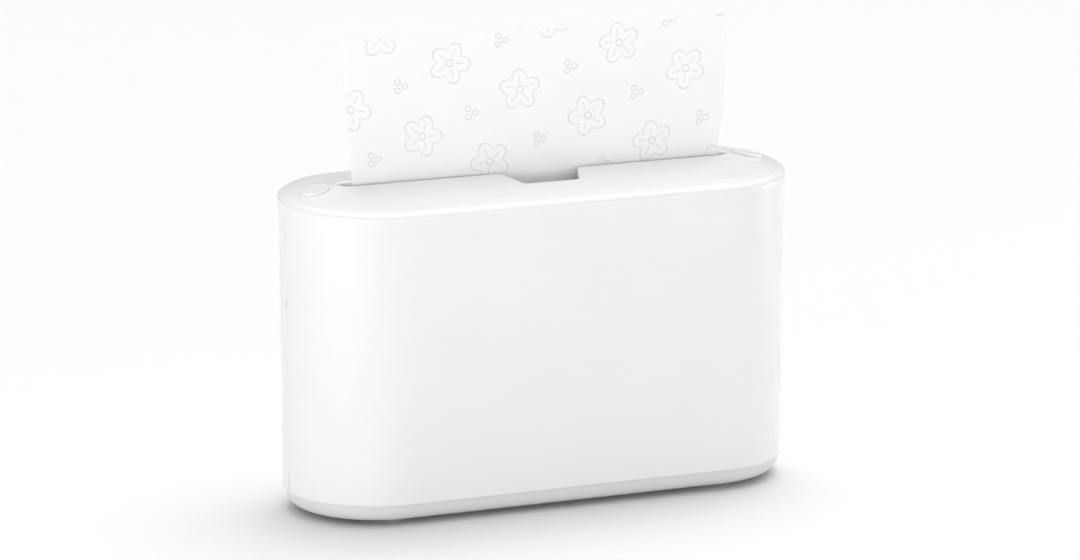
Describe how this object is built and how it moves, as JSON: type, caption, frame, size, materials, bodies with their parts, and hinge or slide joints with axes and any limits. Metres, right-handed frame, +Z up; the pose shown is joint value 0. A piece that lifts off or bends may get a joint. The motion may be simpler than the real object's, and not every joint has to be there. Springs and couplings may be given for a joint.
{
  "type": "countertop paper towel dispenser",
  "caption": "Oval white countertop dispenser: a lift-off lid with a towel slot, finger notch and two end buttons, over a casing with a sprung platform that lifts folded towels.",
  "frame": {"origin": "middle of the footprint, on the surface that the rubber feet stand on", "axes": "+X along the length, to the user's right; -Y towards the user (front); +Z up"},
  "size_m": [0.323, 0.116, 0.285],
  "materials": {
    "white_shell": "gloss",
    "grey_base": "satin",
    "inner_plastic": "matte",
    "white_button": "gloss",
    "spring_steel": "satin",
    "zinc_steel": "satin",
    "drum_plastic": "matte",
    "foot_rubber": "matte",
    "towel_paper": "matte"
  },
  "bodies": {
    "base": {"base_tray": "grey_base", "rubber_feet": "foot_rubber", "front_shell": "white_shell", "rear_shell": "white_shell", "base_screws": "zinc_steel", "guide_frame_left": "inner_plastic", "guide_frame_right": "inner_plastic", "drum_axle_left": "zinc_steel", "drum_axle_right": "zinc_steel", "spring_tape_left": "spring_steel", "spring_tape_right": "spring_steel", "latch_clip_left": "spring_steel", "latch_clip_right": "spring_steel", "latch_rivets": "zinc_steel", "towel_stack": "towel_paper"},
    "lid": {"lid": "white_shell", "latch_keeper_left": "inner_plastic", "latch_keeper_right": "inner_plastic", "keeper_screws": "zinc_steel"},
    "left_button": {"left_button": "white_button"},
    "right_button": {"right_button": "white_button"},
    "platform": {"platform": "inner_plastic", "tape_rivets": "zinc_steel"},
    "left_drum": {"spring_drum_left": "drum_plastic", "spring_coil_left": "spring_steel"},
    "right_drum": {"spring_drum_right": "drum_plastic", "spring_coil_right": "spring_steel"},
    "leading_towel": {"leading_towel": "towel_paper"}
  },
  "joints": [
    {"name": "lid_lift", "type": "slide", "parent": "base", "child": "lid", "axis": [0, 0, 1], "range_m": [0, 0.13], "deforming": ["latch_clip_left", "latch_clip_right"]},
    {"name": "left_button_press", "type": "slide", "parent": "lid", "child": "left_button", "axis": [0, 0, -1], "range_m": [0, 0.003], "stiffness_N_per_m": 400, "springref_m": -0.003},
    {"name": "right_button_press", "type": "slide", "parent": "lid", "child": "right_button", "axis": [0, 0, -1], "range_m": [0, 0.003], "stiffness_N_per_m": 400, "springref_m": -0.003},
    {"name": "platform_lift", "type": "slide", "parent": "base", "child": "platform", "axis": [0, 0, 1], "range_m": [0, 0.132], "deforming": ["spring_tape_left", "spring_tape_right", "towel_stack"]},
    {"name": "left_drum_spin", "type": "hinge", "parent": "base", "child": "left_drum", "pos_m": [-0.1353, 0, 0.16], "axis": [0, 1, 0], "range_deg": [-900, 0]},
    {"name": "right_drum_spin", "type": "hinge", "parent": "base", "child": "right_drum", "pos_m": [0.1353, 0, 0.16], "axis": [0, 1, 0], "range_deg": [0, 900]},
    {"name": "towel_pull", "type": "slide", "parent": "base", "child": "leading_towel", "axis": [0, 0, 1], "range_m": [0, 0.08]}
  ],
  "couplings": [
    {"joint": "left_drum_spin", "follows": "platform_lift", "rad_per_m": -117.65},
    {"joint": "right_drum_spin", "follows": "platform_lift", "rad_per_m": 117.65}
  ]
}
